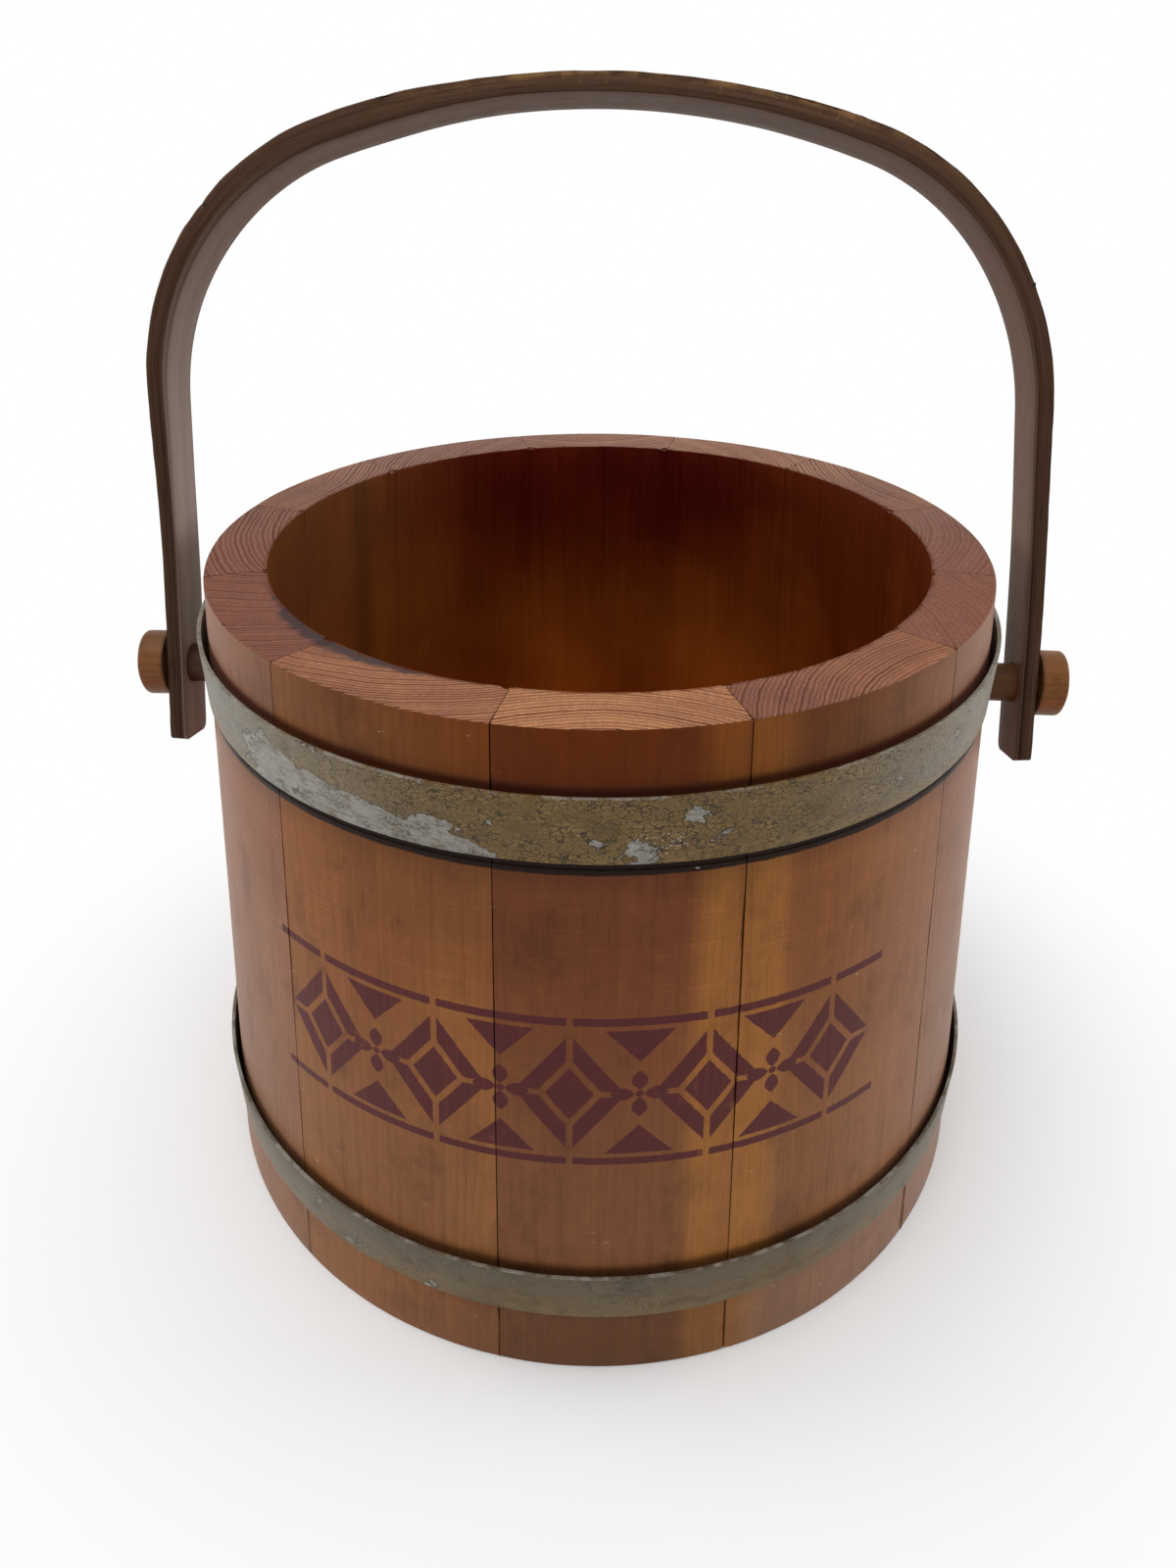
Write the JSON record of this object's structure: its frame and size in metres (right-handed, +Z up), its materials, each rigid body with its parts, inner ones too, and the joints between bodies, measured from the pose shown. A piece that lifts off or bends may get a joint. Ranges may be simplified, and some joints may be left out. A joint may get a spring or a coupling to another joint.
{
  "type": "wooden firkin",
  "caption": "Open coopered wooden bucket, wider at the base than at the rim, bound by metal hoops, with a bent wood handle that swings on pegs.",
  "frame": {"origin": "centre of the base, on the surface that the firkin stands on", "axes": "+Z up through the mouth, -Y towards the front, X along the pegs that the handle swings on"},
  "size_m": [0.309, 0.2852, 0.3461],
  "materials": {
    "stave_01": "worn clear lacquer",
    "stave_02": "worn clear lacquer",
    "stave_03": "worn clear lacquer",
    "stave_04": "worn clear lacquer",
    "stave_05": "worn clear lacquer",
    "stave_06": "worn clear lacquer",
    "stave_07": "worn clear lacquer",
    "stave_08": "worn clear lacquer",
    "stave_09": "worn clear lacquer",
    "stave_10": "worn clear lacquer",
    "stave_11": "worn clear lacquer",
    "stave_12": "worn clear lacquer",
    "bottom_board_front": "clear lacquer, satin",
    "bottom_board_middle": "clear lacquer, satin",
    "bottom_board_back": "clear lacquer, satin",
    "upper_hoop": "dull zinc under yellowed, flaking lacquer",
    "lower_hoop": "dull zinc under yellowed, flaking lacquer",
    "upper_hoop_rivets": "dull zinc under yellowed, flaking lacquer",
    "lower_hoop_rivets": "dull zinc under yellowed, flaking lacquer",
    "left_peg": "clear lacquer, satin",
    "right_peg": "clear lacquer, satin",
    "handle": "dark stained, satin"
  },
  "bodies": {
    "bucket": {"stave_01": "stave_01", "stave_02": "stave_02", "stave_03": "stave_03", "stave_04": "stave_04", "stave_05": "stave_05", "stave_06": "stave_06", "stave_07": "stave_07", "stave_08": "stave_08", "stave_09": "stave_09", "stave_10": "stave_10", "stave_11": "stave_11", "stave_12": "stave_12", "bottom_board_front": "bottom_board_front", "bottom_board_middle": "bottom_board_middle", "bottom_board_back": "bottom_board_back", "upper_hoop": "upper_hoop", "lower_hoop": "lower_hoop", "upper_hoop_rivets": "upper_hoop_rivets", "lower_hoop_rivets": "lower_hoop_rivets", "left_peg": "left_peg", "right_peg": "right_peg"},
    "bail": {"handle": "handle"}
  },
  "joints": [
    {"name": "handle_swing", "type": "hinge", "parent": "bucket", "child": "bail", "pos_m": [0, 0, 0.1734], "axis": [1, 0, 0], "range_deg": [-107.5, 138]}
  ]
}
